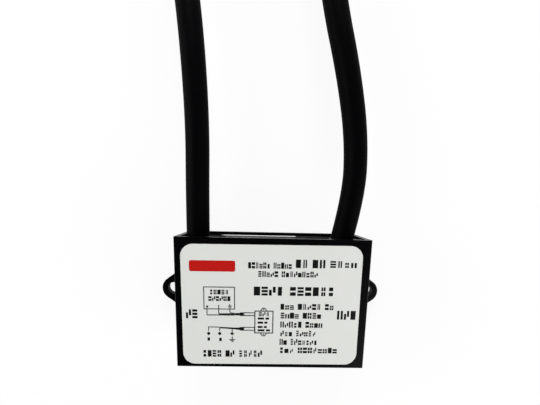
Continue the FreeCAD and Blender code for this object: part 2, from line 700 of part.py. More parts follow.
def make_pieces():
    """Every piece of the device, each one an object with its own label."""
    case = make_case()
    held_leads, free_leads = make_leads()
    held = [case, make_circuit_board()]
    for name, side in (("line", -1), ("neutral", 1)):
        held.append(make_varistor(f"{name}_varistor", side))
        held.append(make_cutoff(f"{name}_thermal_cutoff", side))
    held += make_gas_tube() + held_leads
    held.append(make_solder_joints(doc.getObject("board_conductors")))
    doc.recompute()
    return held + [make_potting(held), make_label()] + free_leads


def check_document(pieces):
    """Stops if any object failed to compute or any piece is not a sound solid."""
    for item in doc.Objects:
        if "Invalid" in item.State or "Error" in item.State:
            raise RuntimeError(f"{item.Label} did not compute: {item.State}")
    for piece in pieces:
        shape = piece.Shape
        if shape.isNull() or not shape.isValid() or not shape.Solids:
            raise RuntimeError(f"{piece.Label} is not a valid solid")


pieces = make_pieces()
doc.recompute()
check_document(pieces)
os.makedirs("parts", exist_ok=True)
for piece in pieces:
    piece.Shape.exportStep(os.path.join("parts", f"{piece.Label}.step"))
    print(f"{piece.Label}: {len(piece.Shape.Solids)} solid(s), {piece.Shape.Volume:.1f} mm3")
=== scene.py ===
import math
import random

import bmesh
import bpy
from mathutils import Euler, Matrix, Vector


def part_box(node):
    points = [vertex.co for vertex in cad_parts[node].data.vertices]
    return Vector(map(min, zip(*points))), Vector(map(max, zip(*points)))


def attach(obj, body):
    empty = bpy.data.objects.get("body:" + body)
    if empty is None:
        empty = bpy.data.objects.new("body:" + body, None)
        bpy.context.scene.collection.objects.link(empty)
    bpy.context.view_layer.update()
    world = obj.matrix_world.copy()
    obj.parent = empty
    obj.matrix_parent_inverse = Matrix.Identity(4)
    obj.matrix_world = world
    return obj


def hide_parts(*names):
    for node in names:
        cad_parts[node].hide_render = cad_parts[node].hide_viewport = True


bl_info = {
    "name": "Surge protective device",
    "version": (1, 0, 0),
    "blender": (4, 5, 0),
    "location": "3D View > Sidebar > Surge device",
    "description": "Dresses the device's solids: case, resin, label, leads, and the studio round them",
    "category": "Object",
}

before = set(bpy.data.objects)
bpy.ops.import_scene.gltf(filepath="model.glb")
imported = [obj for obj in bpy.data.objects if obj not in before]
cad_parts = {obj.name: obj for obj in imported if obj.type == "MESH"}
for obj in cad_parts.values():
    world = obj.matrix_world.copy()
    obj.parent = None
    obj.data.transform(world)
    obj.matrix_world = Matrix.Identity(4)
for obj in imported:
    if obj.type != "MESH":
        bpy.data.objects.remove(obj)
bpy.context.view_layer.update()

MM = 0.001
BODY = "root"

# The photograph's camera, in the part's frame: metres, degrees and the picture's pixels.
CAMERA_PLACE = (-0.003163, 0.031006, 0.120008)
CAMERA_TURN = (-10.555, -1.086, 1.274)
PICTURE_WIDTH = 540
FOCAL_PIXELS = 327.4
CENTRE_DROP_PIXELS = 62.5
SENSOR_WIDTH = 36.0

# The cores of a lead, each with the name of its insulation's slot.
CORE_SLOTS = {"line": "brown_insulation", "neutral": "blue_insulation", "earth": "earth_insulation"}

# Where each lead leaves the potting, how many degrees it leans to the right there, its sheath's
# whole length, and its route from there on: to the right, away from the case, and the height of
# its middle. Lengths and places are in millimetres.
LEADS = {
    "input": {
        "exit": (-24.65, 20.4, 11.0),
        "lean": -0.1,
        "length": 167.6,
        "route": (
            (0.3, 31.8, 10.6),
            (-0.4, 51.2, 10.8),
            (-2.2, 70.6, 9.6),
            (-8.4, 115.0, 3.85),
            (-7.1, 159.0, 3.85),
        ),
    },
    "output": {
        "exit": (23.3, 20.4, 11.0),
        "lean": 13.5,
        "length": 168.2,
        "route": (
            (2.9, 31.8, 10.0),
            (-0.95, 51.2, 10.0),
            (-6.35, 70.6, 9.4),
            (-14.0, 115.0, 3.85),
            (-11.8, 158.2, 3.85),
        ),
    },
}

# How far a sheath reaches into the potting, and how far out it heads before its route turns.
SHEATH_EMBEDDED = 7.8
STRAIGHT_START = 12.9

# Which way each core lies from the middle of its sheath, to the right and up. All three lie so
# many millimetres farther out than three cores that touch.
CORE_SEATS = {
    "line": (-math.sqrt(3) / 2, -0.5),
    "neutral": (math.sqrt(3) / 2, -0.5),
    "earth": (0.0, 1.0),
}
CORE_GAP = 0.12

# End of each free core from the middle of its sheath's end, in millimetres: along the lead,
# to its right, and the core's height.
FREE_CORE_ENDS = {
    "input": {"line": (29.8, -10.2, 2.1), "neutral": (30.4, 8.4, 2.4), "earth": (30.8, 2.6, 3.5)},
    "output": {"line": (30.4, -8.0, 2.3), "neutral": (29.6, 10.6, 2.0), "earth": (30.9, 1.3, 3.4)},
}

# How far a free core heads out before it spreads, its length, and the length of its bare strands.
FREE_CORE_STRAIGHT = 5.5
TIP_LENGTH = 8.0

# How many faces lie round a sheath and round a free core.
SHEATH_FACES = 32
CORE_FACES = 20

# Inner corners of the case, in millimetres, and the resin's surface as a grid of so many faces.
CAVITY_CORNER = 1.0
RESIN_COLUMNS = 220
RESIN_ROWS = 72

# Finishes of what the resin holds: name, colour, roughness, the width of its uneven patches in
# millimetres, and the nodes that have it.
COATINGS = (
    ("glass_epoxy_laminate", "#1C6B43", 0.35, 0.6, ("circuit_board",)),
    ("dipped_varistor_coating", "#1C4FA0", 0.32, 0.8, ("line_varistor", "neutral_varistor")),
    ("moulded_cutoff_case", "#DAD5C4", 0.45, 0.5, ("line_thermal_cutoff", "neutral_thermal_cutoff")),
    ("fired_alumina", "#ECEAE4", 0.4, 0.3, ("gas_tube_ceramic",)),
)
METALS = (
    ("nickel_plate", "#C2BDB2", 0.3, 0.8, ("gas_tube_left_electrode", "gas_tube_right_electrode")),
    ("bare_copper", "#C9835A", 0.32, 0.5, ("board_conductors",)),
    ("tin_solder", "#CDCDCB", 0.25, 0.7, ("solder_joints",)),
)

# The label was laid by hand, turned anticlockwise by that many degrees.
LABEL_TURN = 0.3

# The soft boxes: place and side in metres. All of them face the same point of the device.
LAMPS = {
    "key": ((-0.62, 0.1, 0.34), 0.36),
    "fill": ((0.5, -0.3, 0.42), 0.6),
    "back": ((-0.018, 0.72, 0.27), 0.2),
}
LAMP_AIM = (0, 0.03, 0.01)

# How much plain white the floor shows to the camera, and how much in glossy or clear surfaces.
FLOOR_SEEN = 0.9
FLOOR_MIRRORED = 0.3

# The floor lies this far under the device, in millimetres, so that their faces don't coincide.
FLOOR_DROP = 0.05

# The white backdrop fades between these two heights, as sines of the elevation, to the dim ceiling.
BACKDROP_FADE = (0.3, 0.6)
CEILING_LIGHT = 0.03


def linear_colour(code):
    """An sRGB hex colour as linear red, green and blue, with its alpha."""
    channels = [int(code[start:start + 2], 16) / 255 for start in (1, 3, 5)]
    bent = [c / 12.92 if c <= 0.04045 else ((c + 0.055) / 1.055) ** 2.4 for c in channels]
    return (*bent, 1.0)


def shaded(tone, factor):
    """A linear colour made lighter or darker by a factor."""
    return [channel * factor for channel in tone[:3]] + [1.0]


def colour(name, description, code):
    """A colour property with its default as an sRGB hex colour."""
    return bpy.props.FloatVectorProperty(
        name=name, description=description, default=linear_colour(code),
        subtype="COLOR", size=4, min=0, max=1,
    )


def length(name, description, millimetres):
    """A length property with its default in millimetres."""
    return bpy.props.FloatProperty(
        name=name, description=description, default=millimetres * MM, unit="LENGTH", precision=5, min=0
    )


def power(name, description, watts):
    """A lamp's power as a property."""
    return bpy.props.FloatProperty(name=name, description=description, default=watts, unit="POWER", min=0)


class LeadSettings(bpy.types.PropertyGroup):
    """Sizes and colours of the two leads."""

    sheath_diameter: length("Sheath diameter", "Outside of the round rubber sheath", 7.5)
    core_diameter: length("Core diameter", "Outside of an insulated core", 2.5)
    tip_diameter: length("Tip diameter", "Outside of the tinned strands", 1.3)
    rim_round: length("Cut rim", "Rounding of a sheath's cut end", 0.25)
    sheath_colour: colour("Sheath", "Rubber of the sheath", "#020203")
    line_colour: colour("Line core", "Brown insulation", "#5B3420")
    neutral_colour: colour("Neutral core", "Blue insulation", "#1D62B5")
    earth_green: colour("Earth core", "Green of the earth core", "#1F7A38")
    earth_yellow: colour("Earth core stripe", "Yellow of the earth core", "#E3C71E")


class CaseSettings(bpy.types.PropertyGroup):
    """Colour and grain of the moulded case, and colour and surface of the resin in it."""

    case_colour: colour("Case", "Moulded plastic", "#020203")
    resin_colour: colour("Resin", "Potting compound", "#020202")
    texture_size: length("Moulded texture", "Spacing of the mould's spark-eroded grain", 0.35)
    resin_depth: length("Resin depth", "Case's rim down to the resin's flat surface", 1.53)
    wall_creep: length("Creep up the walls", "Radius of the resin's edge along the walls", 0.88)
    lead_creep: length("Creep up the leads", "Radius of the resin's edge round a sheath", 0.9)


class LabelSettings(bpy.types.PropertyGroup):
    """Colours and ink thickness of the label."""

    film_colour: colour("Film", "Pale printed film", "#DCDDD9")
    film_tint: colour("Film tint", "Second shade that the film's coating drifts to", "#D4D6D2")
    ink_colour: colour("Ink", "Dark print", "#08080A")
    line_colour: colour("Line ink", "Fine grey lines of the wiring diagram", "#3E4341")
    red_colour: colour("Red ink", "The one coloured field", "#AE120C")
    ink_thickness: length("Ink thickness", "How far the print stands off the film", 0.02)


class StageSettings(bpy.types.PropertyGroup):
    """Floor and lamps."""

    floor_colour: colour("Floor", "Plain pale floor", "#F6F6F6")
    floor_radius: length("Floor radius", "Half the floor's width", 3000)
    key_power: power("Key lamp", "Power of the lamp on the left", 2.6)
    fill_power: power("Fill lamp", "Power of the lamp on the right", 3.75)
    back_power: power("Back lamp", "Power of the lamp beyond the leads", 4.5)


class DeviceSettings(bpy.types.PropertyGroup):
    """Everything that a user would change."""

    leads: bpy.props.PointerProperty(type=LeadSettings)
    case: bpy.props.PointerProperty(type=CaseSettings)
    label: bpy.props.PointerProperty(type=LabelSettings)
    stage: bpy.props.PointerProperty(type=StageSettings)


# Materials


def add_node(tree, kind, inputs=(), **settings):
    """Adds a node with its settings; an input is a value, or the output it is linked from."""
    node = tree.nodes.new(kind)
    for name, value in settings.items():
        setattr(node, name, value)
    for name, value in dict(inputs).items():
        if isinstance(value, bpy.types.NodeSocket):
            tree.links.new(value, node.inputs[name])
        else:
            node.inputs[name].default_value = value
    return node


def new_material(name):
    """An empty material with its node tree."""
    material = bpy.data.materials.new(name)
    material.use_nodes = True
    material.node_tree.nodes.clear()
    return material, material.node_tree


def patterned_material(name):
    """An empty material, with the piece's own coordinates for its patterns."""
    material, tree = new_material(name)
    return material, tree, add_node(tree, "ShaderNodeTexCoord").outputs["Object"]


def close_material(tree, shader, bump=None):
    """Links the finished shader, with its bump, to the material's output."""
    if bump is not None:
        tree.links.new(bump.outputs["Normal"], shader.inputs["Normal"])
    add_node(tree, "ShaderNodeOutputMaterial", {"Surface": shader.outputs[0]})


def per_mm(size):
    """Scale of a texture whose features are that many millimetres apart."""
    return 1 / (size * MM)


def moulded_plastic(settings):
    """Flame-retardant plastic from a spark-eroded mould: black, satin, with a fine even grain."""
    material, tree, place = patterned_material("moulded_flame_retardant_plastic")
    # The real grain is about 0.1 mm wide, too fine to show, so it is drawn coarser.
    grain = add_node(
        tree, "ShaderNodeTexNoise",
        {"Vector": place, "Scale": 1 / settings.texture_size, "Detail": 3.0, "Roughness": 0.6},
    )
    # The melt's flow leaves patches about 18 mm wide, a little lighter and duller.
    flow = add_node(tree, "ShaderNodeTexNoise", {"Vector": place, "Scale": per_mm(18), "Detail": 2.0})
    tone = settings.case_colour
    shade = add_node(
        tree, "ShaderNodeMix",
        {"Factor": flow.outputs["Fac"], "A": tone, "B": shaded(tone, 1.7)}, data_type="RGBA",
    )
    rough = add_node(
        tree, "ShaderNodeMapRange",
        {"Value": flow.outputs["Fac"], "From Min": 0.3, "From Max": 0.7, "To Min": 0.26, "To Max": 0.33},
    )
    bump = add_node(
        tree, "ShaderNodeBump", {"Height": grain.outputs["Fac"], "Strength": 0.2, "Distance": 0.02 * MM}
    )
    shader = add_node(
        tree, "ShaderNodeBsdfPrincipled",
        {
            "Base Color": shade.outputs["Result"],
            "Roughness": rough.outputs["Result"],
            "IOR": 1.5,
            "Specular IOR Level": 0.09,
        },
    )
    close_material(tree, shader, bump)
    return material


def cast_epoxy(settings):
    """Black epoxy, poured and cured: mirror-like, with slow waves and a few pin-holes."""
    material, tree, place = patterned_material("cast_black_epoxy")
    waves = add_node(tree, "ShaderNodeTexNoise", {"Vector": place, "Scale": per_mm(9), "Detail": 1.0})
    pores = add_node(tree, "ShaderNodeTexVoronoi", {"Vector": place, "Scale": per_mm(3.2)})
    pin_holes = add_node(
        tree, "ShaderNodeMapRange",
        {"Value": pores.outputs["Distance"], "From Min": 0.04, "From Max": 0.1},
        interpolation_type="SMOOTHSTEP",
    )
    slow = add_node(
        tree, "ShaderNodeBump", {"Height": waves.outputs["Fac"], "Strength": 0.3, "Distance": 0.12 * MM}
    )
    bump = add_node(
        tree, "ShaderNodeBump",
        {
            "Height": pin_holes.outputs["Result"],
            "Strength": 0.4,
            "Distance": 0.1 * MM,
            "Normal": slow.outputs["Normal"],
        },
    )
    shader = add_node(
        tree, "ShaderNodeBsdfPrincipled",
        {"Base Color": settings.resin_colour, "Roughness": 0.04, "IOR": 1.55},
    )
    close_material(tree, shader, bump)
    return material


def polyester_film(settings):
    """Matt silvered polyester label film: pale, satin, its coating drifting between two greys."""
    material, tree, place = patterned_material("matt_polyester_film")
    drift = add_node(tree, "ShaderNodeTexNoise", {"Vector": place, "Scale": per_mm(16), "Detail": 2.0})
    # The real tooth is a few hundredths of a millimetre wide, and is drawn coarse enough to show.
    tooth = add_node(tree, "ShaderNodeTexNoise", {"Vector": place, "Scale": per_mm(0.3), "Detail": 2.0})
    shade = add_node(
        tree, "ShaderNodeMix",
        {"Factor": drift.outputs["Fac"], "A": settings.film_colour, "B": settings.film_tint},
        data_type="RGBA",
    )
    rough = add_node(
        tree, "ShaderNodeMapRange",
        {"Value": tooth.outputs["Fac"], "From Min": 0.3, "From Max": 0.7, "To Min": 0.42, "To Max": 0.52},
    )
    bump = add_node(
        tree, "ShaderNodeBump", {"Height": tooth.outputs["Fac"], "Strength": 0.12, "Distance": 0.01 * MM}
    )
    shader = add_node(
        tree, "ShaderNodeBsdfPrincipled",
        {"Base Color": shade.outputs["Result"], "Roughness": rough.outputs["Result"], "IOR": 1.57},
    )
    close_material(tree, shader, bump)
    return material


def screen_ink(name, tone):
    """Screen-printed ink: flat, a little matt, very slightly uneven in cover."""
    material, tree, place = patterned_material(name)
    # A screen's threads are about 0.1 mm apart, and their marks are drawn coarser so that they show.
    cover = add_node(tree, "ShaderNodeTexNoise", {"Vector": place, "Scale": per_mm(0.5), "Detail": 2.0})
    # Where the ink lies thin, its colour is a little paler.
    gain, lift = 1.15, 0.002
    thin = [min(1.0, channel * gain + lift) for channel in tone[:3]] + [1.0]
    shade = add_node(
        tree, "ShaderNodeMix", {"Factor": cover.outputs["Fac"], "A": tone, "B": thin}, data_type="RGBA"
    )
    shader = add_node(
        tree, "ShaderNodeBsdfPrincipled",
        {"Base Color": shade.outputs["Result"], "Roughness": 0.5, "IOR": 1.5, "Specular IOR Level": 0.12},
    )
    close_material(tree, shader)
    return material


def extruded_rubber(settings):
    """Chloroprene rubber, extruded: dead black, a dull sheen, faint lines drawn along by the die."""
    material, tree, place = patterned_material("extruded_chloroprene_rubber")
    along = add_node(tree, "ShaderNodeUVMap", uv_map="UVMap")
    # In millimetres: a sheath's length and girth, a die line's length, and how far apart the lines are.
    sheath_run, sheath_girth = 166, 23.6
    line_run, line_pitch = 25, 0.5
    stretched = add_node(
        tree, "ShaderNodeMapping",
        {"Vector": along.outputs["UV"], "Scale": (sheath_run / line_run, sheath_girth / line_pitch, 1.0)},
    )
    lines = add_node(
        tree, "ShaderNodeTexNoise", {"Vector": stretched.outputs["Vector"], "Scale": 1.0, "Detail": 2.0}
    )
    # The skin's own grain is finer than this, and is drawn coarse enough to show.
    skin = add_node(tree, "ShaderNodeTexNoise", {"Vector": place, "Scale": per_mm(0.3), "Detail": 3.0})
    bloom = add_node(tree, "ShaderNodeTexNoise", {"Vector": place, "Scale": per_mm(14), "Detail": 3.0})
    tone = settings.sheath_colour
    shade = add_node(
        tree, "ShaderNodeMix",
        {"Factor": bloom.outputs["Fac"], "A": tone, "B": shaded(tone, 1.5)}, data_type="RGBA",
    )
    rough = add_node(
        tree, "ShaderNodeMapRange",
        {"Value": lines.outputs["Fac"], "From Min": 0.3, "From Max": 0.7, "To Min": 0.48, "To Max": 0.6},
    )
    drawn = add_node(
        tree, "ShaderNodeBump", {"Height": lines.outputs["Fac"], "Strength": 0.25, "Distance": 0.03 * MM}
    )
    bump = add_node(
        tree, "ShaderNodeBump",
        {
            "Height": skin.outputs["Fac"],
            "Strength": 0.3,
            "Distance": 0.02 * MM,
            "Normal": drawn.outputs["Normal"],
        },
    )
    shader = add_node(
        tree, "ShaderNodeBsdfPrincipled",
        {
            "Base Color": shade.outputs["Result"],
            "Roughness": rough.outputs["Result"],
            "IOR": 1.52,
            "Specular IOR Level": 0.02,
        },
    )
    close_material(tree, shader, bump)
    return material


def core_insulation(name, tone, stripe=None):
    """Extruded core insulation: smooth, softly glossy; an earth core has a second colour in strips."""
    material, tree, place = patterned_material(name)
    along = add_node(tree, "ShaderNodeUVMap", uv_map="UVMap")
    handled = add_node(tree, "ShaderNodeTexNoise", {"Vector": place, "Scale": per_mm(5), "Detail": 3.0})
    shade = add_node(
        tree, "ShaderNodeMix",
        {"Factor": handled.outputs["Fac"], "A": tone, "B": shaded(tone, 0.8)}, data_type="RGBA",
    )
    if stripe is not None:
        # How many strips there are, how far round they turn on their way, and how wide they are.
        strips, turns_along, stripe_share = 2.0, 0.6, 0.42
        apart = add_node(tree, "ShaderNodeSeparateXYZ", {"Vector": along.outputs["UV"]})
        round_core = add_node(
            tree, "ShaderNodeMath",
            {0: apart.outputs["X"], 1: turns_along, 2: apart.outputs["Y"]}, operation="MULTIPLY_ADD",
        )
        repeated = add_node(
            tree, "ShaderNodeMath", {0: round_core.outputs["Value"], 1: strips}, operation="MULTIPLY"
        )
        within = add_node(tree, "ShaderNodeMath", {0: repeated.outputs["Value"]}, operation="FRACT")
        striped = add_node(
            tree, "ShaderNodeMath", {0: within.outputs["Value"], 1: stripe_share}, operation="LESS_THAN"
        )
        shade = add_node(
            tree, "ShaderNodeMix",
            {"Factor": striped.outputs["Value"], "A": shade.outputs["Result"], "B": stripe},
            data_type="RGBA",
        )
    skin = add_node(tree, "ShaderNodeTexNoise", {"Vector": place, "Scale": per_mm(0.4), "Detail": 2.0})
    bump = add_node(
        tree, "ShaderNodeBump", {"Height": skin.outputs["Fac"], "Strength": 0.2, "Distance": 0.01 * MM}
    )
    shader = add_node(
        tree, "ShaderNodeBsdfPrincipled",
        {"Base Color": shade.outputs["Result"], "Roughness": 0.38, "IOR": 1.53},
    )
    close_material(tree, shader, bump)
    return material


def worked_metal(name, tone, roughness, wear_size):
    """A metal with a slightly uneven finish, as dipped, plated or stripped."""
    material, tree, place = patterned_material(name)
    uneven = add_node(
        tree, "ShaderNodeTexNoise", {"Vector": place, "Scale": per_mm(wear_size), "Detail": 3.0}
    )
    shade = add_node(
        tree, "ShaderNodeMix",
        {"Factor": uneven.outputs["Fac"], "A": tone, "B": shaded(tone, 0.72)}, data_type="RGBA",
    )
    # Some places are brighter and others duller than the finish is on the whole.
    bright, dull = roughness - 0.08, roughness + 0.12
    rough = add_node(
        tree, "ShaderNodeMapRange", {"Value": uneven.outputs["Fac"], "To Min": bright, "To Max": dull}
    )
    bump = add_node(
        tree, "ShaderNodeBump", {"Height": uneven.outputs["Fac"], "Strength": 0.25, "Distance": 0.02 * MM}
    )
    shader = add_node(
        tree, "ShaderNodeBsdfPrincipled",
        {"Base Color": shade.outputs["Result"], "Metallic": 1.0, "Roughness": rough.outputs["Result"]},
    )
    close_material(tree, shader, bump)
    return material


def coated_component(name, tone, roughness, grain_size):
    """A dipped, moulded or fired coating on a board's component: even, with a shallow skin."""
    material, tree, place = patterned_material(name)
    skin = add_node(
        tree, "ShaderNodeTexNoise", {"Vector": place, "Scale": per_mm(grain_size), "Detail": 3.0}
    )
    shade = add_node(
        tree, "ShaderNodeMix",
        {"Factor": skin.outputs["Fac"], "A": tone, "B": shaded(tone, 0.75)}, data_type="RGBA",
    )
    bump = add_node(
        tree, "ShaderNodeBump", {"Height": skin.outputs["Fac"], "Strength": 0.2, "Distance": 0.04 * MM}
    )
    shader = add_node(
        tree, "ShaderNodeBsdfPrincipled",
        {"Base Color": shade.outputs["Result"], "Roughness": roughness, "IOR": 1.55},
    )
    close_material(tree, shader, bump)
    return material


def floor_paint(settings):
    """Plain white studio floor, which the camera sees as white and which still takes a soft shadow."""
    material, tree = new_material("studio_floor")
    matt = add_node(
        tree, "ShaderNodeBsdfPrincipled",
        {"Base Color": settings.floor_colour, "Roughness": 0.9, "Specular IOR Level": 0.0},
    )
    white = add_node(tree, "ShaderNodeEmission", {"Color": (1.0, 1.0, 1.0, 1.0), "Strength": 1.0})
    path = add_node(tree, "ShaderNodeLightPath")
    mirrored = add_node(
        tree, "ShaderNodeMath",
        {0: path.outputs["Is Glossy Ray"], 1: path.outputs["Is Transmission Ray"]}, operation="MAXIMUM",
    )
    faint = add_node(
        tree, "ShaderNodeMath", {0: mirrored.outputs["Value"], 1: FLOOR_MIRRORED}, operation="MULTIPLY"
    )
    full = add_node(
        tree, "ShaderNodeMath", {0: path.outputs["Is Camera Ray"], 1: FLOOR_SEEN}, operation="MULTIPLY"
    )
    share = add_node(
        tree, "ShaderNodeMath", {0: full.outputs["Value"], 1: faint.outputs["Value"]}, operation="MAXIMUM"
    )
    mixed = add_node(
        tree, "ShaderNodeMixShader",
        {0: share.outputs["Value"], 1: matt.outputs["BSDF"], 2: white.outputs["Emission"]},
    )
    close_material(tree, mixed)
    return material


# Geometry


def new_object(name, data):
    """An object of a mesh, curve, lamp or camera, in the scene."""
    made = bpy.data.objects.new(name, data)
    bpy.context.scene.collection.objects.link(made)
    return made


def new_piece(name, mesh, material):
    """A piece of the device: its mesh is already in its place, and it rides on the one body."""
    piece = new_object(name, mesh)
    mesh.materials.clear()
    mesh.materials.append(material)
    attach(piece, BODY)
    return piece


def dress_node(name, material):
    """Gives a CAD node's object a finish; its mesh stays as it is."""
    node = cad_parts[name]
    if not node.material_slots:
        node.data.materials.append(material)
    for held in node.material_slots:
        held.material = material


def mesh_from(form, name):
    """Turns a bmesh into a mesh, with its faces outward, and frees it."""
    bmesh.ops.recalc_face_normals(form, faces=form.faces)
    mesh = bpy.data.meshes.new(name)
    form.to_mesh(mesh)
    form.free()
    return mesh


def route_curve(name, points):
    """The route's points as the control points of one smooth NURBS line."""
    curve = bpy.data.curves.new(name, "CURVE")
    curve.dimensions = "3D"
    spline = curve.splines.new("NURBS")
    spline.points.add(len(points) - 1)
    for control, point in zip(spline.points, points):
        control.co = (*point, 1)
    spline.order_u = 3
    spline.use_endpoint_u = True
    curve.resolution_u = 16
    return curve


def curve_mesh(curve):
    """The mesh that a curve gives as it stands."""
    carrier = new_object(curve.name, curve)
    bpy.context.view_layer.update()
    mesh = bpy.data.meshes.new_from_object(carrier)
    bpy.data.objects.remove(carrier)
    return mesh


def tube(name, points, diameter, rim, faces_round):
    """A round tube along a route, its two cut rims rounded; also the smooth line it follows."""
    # Points this near each other are one. A face belongs to a cut end if it looks outward at least
    # this squarely, as a cosine, and lies this near the end.
    merge_distance = diameter * 0.001
    least_cosine = 0.99
    cap_depth = diameter * 0.02
    curve = route_curve(name, points)
    line = curve_mesh(curve)
    path = [vertex.co.copy() for vertex in line.vertices]
    curve.bevel_depth = diameter / 2
    # A bevel has four faces round it, and two more for each step of its resolution.
    curve.bevel_resolution = (faces_round - 4) // 2
    curve.use_fill_caps = True
    mesh = curve_mesh(curve)
    bpy.data.meshes.remove(line)
    bpy.data.curves.remove(curve)
    mesh.name = name

    form = bmesh.new()
    form.from_mesh(mesh)
    bmesh.ops.remove_doubles(form, verts=form.verts, dist=merge_distance)
    for end, inner in ((path[0], path[1]), (path[-1], path[-2])):
        outward = (end - inner).normalized()
        cap = [
            face for face in form.faces
            if face.normal.dot(outward) > least_cosine
            and abs((face.calc_center_median() - end).dot(outward)) < cap_depth
        ]
        flat = bmesh.ops.dissolve_faces(form, faces=cap)["region"]
        bmesh.ops.bevel(
            form, geom=list(flat[0].edges), offset=rim, offset_type="OFFSET", segments=3,
            profile=0.5, affect="EDGES", material=-1, clamp_overlap=True,
        )
    # The two ends stay flat. They alone have more than a few corners.
    few_corners = 7
    for face in form.faces:
        face.smooth = len(face.verts) <= few_corners
    form.to_mesh(mesh)
    form.free()
    return mesh, path


def lead_points(side_name):
    """Route of a lead's sheath, from its inner end to its outer end."""
    lead = LEADS[side_name]
    start = Vector(lead["exit"])
    lean = math.radians(lead["lean"])
    direction = Vector((math.sin(lean), math.cos(lean), 0))
    points = [start - direction * SHEATH_EMBEDDED, start + direction * STRAIGHT_START]
    points += [Vector((start.x + right, start.y + away, height)) for right, away, height in lead["route"]]
    return [point * MM for point in points]


def free_core_points(side_name, core, core_diameter):
    """Route of a free core, from its sheath's outer end to its tinned tip."""
    before, end = lead_points(side_name)[-2:]
    along = (end - before).normalized()
    right = Vector((along.y, -along.x, 0))
    spread = core_diameter / math.sqrt(3) + CORE_GAP * MM
    across, up = CORE_SEATS[core]
    start = end + right * (across * spread) + Vector((0, 0, up * spread))
    ahead, aside, height = FREE_CORE_ENDS[side_name][core]
    tip = end + along * (ahead * MM) + right * (aside * MM)
    tip.z = height * MM
    return [start, start + along * (FREE_CORE_STRAIGHT * MM), tip]


def twisted_tip(name, start, heading, diameter):
    """Tinned strands laid round each other: a fluted rod with a slight twist and a blunt end."""
    strands, steps = 12, 10
    step = TIP_LENGTH * MM / steps
    turn = Matrix.Rotation(math.radians(16), 3, "Z")
    # Radius in the flutes and at the blunt end, as shares of the rod's own.
    flute_share, end_share = 0.9, 0.82
    form = bmesh.new()
    bmesh.ops.create_circle(form, segments=strands * 2, radius=diameter / 2, cap_ends=False)
    for number, vertex in enumerate(form.verts):
        if number % 2:
            vertex.co *= flute_share
    ring = list(form.edges)
    for _ in range(steps):
        grown = bmesh.ops.extrude_edge_only(form, edges=ring)["geom"]
        ring = [part for part in grown if isinstance(part, bmesh.types.BMEdge)]
        moved = [part for part in grown if isinstance(part, bmesh.types.BMVert)]
        bmesh.ops.translate(form, verts=moved, vec=(0, 0, step))
        bmesh.ops.rotate(form, verts=moved, cent=(0, 0, 0), matrix=turn)
    bmesh.ops.scale(form, verts=moved, vec=(end_share, end_share, 1.0))
    bmesh.ops.holes_fill(form, edges=form.edges, sides=0)
    aimed = heading.to_track_quat("Z", "Y").to_matrix().to_4x4()
    bmesh.ops.transform(form, verts=form.verts, matrix=Matrix.Translation(start) @ aimed)
    return mesh_from(form, name)


def make_sheath(side_name, settings, rubber):
    """A lead's sheath, from inside the potting to its cut end."""
    name = f"{side_name}_lead_sheath"
    points = lead_points(side_name)
    mesh, path = tube(name, points, settings.sheath_diameter, settings.rim_round, SHEATH_FACES)
    sheath = new_piece(name, mesh, rubber)
    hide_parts(f"{side_name}_cable")


def make_free_core(side_name, core, settings, insulation, tin):
    """A free core past its sheath's cut end, with the bare strands at its own."""
    name = f"{side_name}_{core}_insulation"
    points = free_core_points(side_name, core, settings.core_diameter)
    mesh, path = tube(name, points, settings.core_diameter, settings.rim_round / 2, CORE_FACES)
    piece = new_piece(name, mesh, insulation)
    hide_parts(f"{side_name}_{core}_core")
    name = f"{side_name}_{core}_strands"
    heading = (points[-1] - points[-2]).normalized()
    mesh = twisted_tip(name, points[-1], heading, settings.tip_diameter)
    strands = new_piece(name, mesh, tin)
    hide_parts(f"{side_name}_{core}_tip")


def resin_mesh(name, settings, sheath_radius):
    """The resin as it set: a flat pool that creeps up the case's walls and round both sheaths."""
    low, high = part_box("potting_compound")
    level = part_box("case")[1].y - settings.resin_depth
    middle, half = (low + high) / 2, (high - low) / 2
    form = bmesh.new()
    bmesh.ops.create_grid(form, x_segments=RESIN_COLUMNS, y_segments=RESIN_ROWS, size=1)
    for vertex in form.verts:
        # The grid is drawn together towards the walls, where the surface turns up.
        x = middle.x + half.x * math.sin(vertex.co.x * math.pi / 2)
        z = middle.z - half.z * math.sin(vertex.co.y * math.pi / 2)
        creep = creep_height(wall_distance(x - middle.x, z - middle.z, half), settings.wall_creep)
        for lead in LEADS.values():
            gap = lead_distance(lead, x, level, z) - sheath_radius
            creep = max(creep, creep_height(gap, settings.lead_creep))
        vertex.co = (x, level + creep, z)
    for face in form.faces:
        face.smooth = True
    rim = [edge for edge in form.edges if edge.is_boundary]
    for edge in rim:
        edge.smooth = False
    grown = bmesh.ops.extrude_edge_only(form, edges=rim)["geom"]
    for part in grown:
        if isinstance(part, bmesh.types.BMVert):
            part.co.y = low.y
    bmesh.ops.holes_fill(form, edges=[edge for edge in form.edges if edge.is_boundary], sides=0)
    return mesh_from(form, name)


def creep_height(distance, radius):
    """How high the resin stands up beside a wall, as a hollow quarter round of that radius."""
    inside = min(max(radius - distance, 0.0), radius)
    return radius - math.sqrt(radius * radius - inside * inside)


def wall_distance(x, z, half):
    """Distance from a point to the case's nearest wall, whose inner corners are round."""
    corner = CAVITY_CORNER * MM
    aside, up = abs(x) - (half.x - corner), abs(z) - (half.z - corner)
    beyond = math.hypot(max(aside, 0.0), max(up, 0.0))
    return corner - beyond - min(max(aside, up), 0.0)


def lead_distance(lead, x, level, z):
    """Distance from a point of the resin's surface to a lead's middle line."""
    start = Vector(lead["exit"]) * MM
    lean = math.radians(lead["lean"])
    beside = x - (start.x + (level - start.y) * math.tan(lean))
    return math.hypot(beside * math.cos(lean), z - start.z)


# Print on the label


